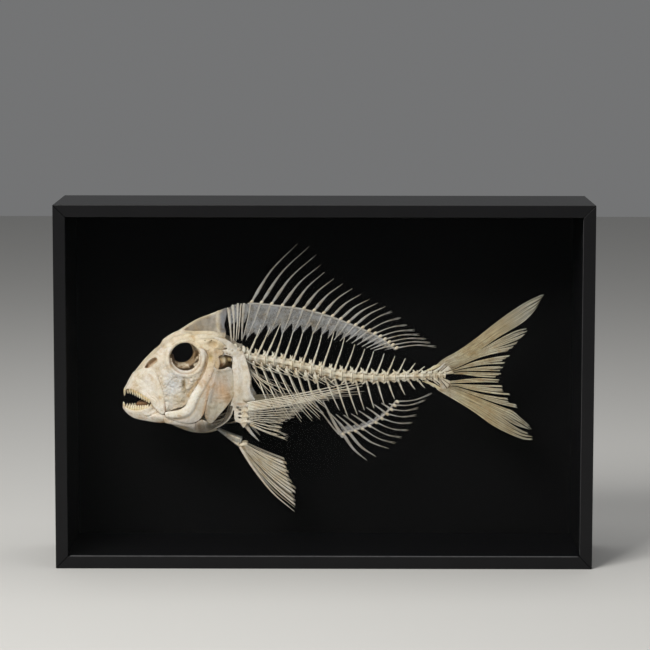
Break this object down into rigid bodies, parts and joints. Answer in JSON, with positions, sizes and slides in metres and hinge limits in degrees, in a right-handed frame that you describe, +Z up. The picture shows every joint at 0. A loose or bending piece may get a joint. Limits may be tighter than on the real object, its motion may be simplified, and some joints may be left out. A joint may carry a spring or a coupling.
{
  "type": "fish skeleton in a glazed case",
  "caption": "Complete sea bream skeleton, mouth slightly open and fins spread, fixed side-on inside a black wooden shadow-box case with a glass front.",
  "frame": {"origin": "middle of the case's footprint, on the surface it stands on", "axes": "+Z up; +X along the case from the fish's head to its tail; -Y towards the glass front"},
  "size_m": [0.5, 0.12, 0.34],
  "materials": {
    "bone_head": "dry cream bone, matt with a faint sheen",
    "bone": "dry yellowish cream bone, matt",
    "bone_grey": "thin translucent grey-white bone, matt",
    "bone_tan": "tan fin rays, dry, streaked along the rays",
    "pin_steel": "dark steel pin",
    "frame_black": "black satin paint on wood",
    "glass": "clear float glass",
    "back_black": "matt black backing board"
  },
  "bodies": {
    "root": {"skull": "bone_head", "upper_jaw_left": "bone_head", "upper_jaw_right": "bone_head", "lower_jaw_left": "bone_head", "lower_jaw_right": "bone_head", "cheek_left": "bone_head", "cheek_right": "bone_head", "preopercle_left": "bone_head", "preopercle_right": "bone_head", "jaw_arch_left": "bone_head", "jaw_arch_right": "bone_head", "opercle_left": "bone_head", "opercle_right": "bone_head", "subopercle_left": "bone_head", "subopercle_right": "bone_head", "shoulder_left": "bone_head", "shoulder_right": "bone_head", "throat": "bone_head", "spine_trunk": "bone", "ribs_left": "bone", "ribs_right": "bone", "spine_tail": "bone", "pectoral_fin_left": "bone", "pectoral_fin_right": "bone", "pelvis": "bone", "dorsal_fin": "bone_grey", "anal_fin": "bone_grey", "pelvic_fin_left": "bone_tan", "pelvic_fin_right": "bone_tan", "tail_fin_upper": "bone_tan", "tail_fin_lower": "bone_tan", "mount_pin_head": "pin_steel", "mount_pin_tail": "pin_steel", "frame_top": "frame_black", "frame_bottom": "frame_black", "frame_left": "frame_black", "frame_right": "frame_black", "glass": "glass", "back_panel": "back_black"}
  },
  "joints": []
}
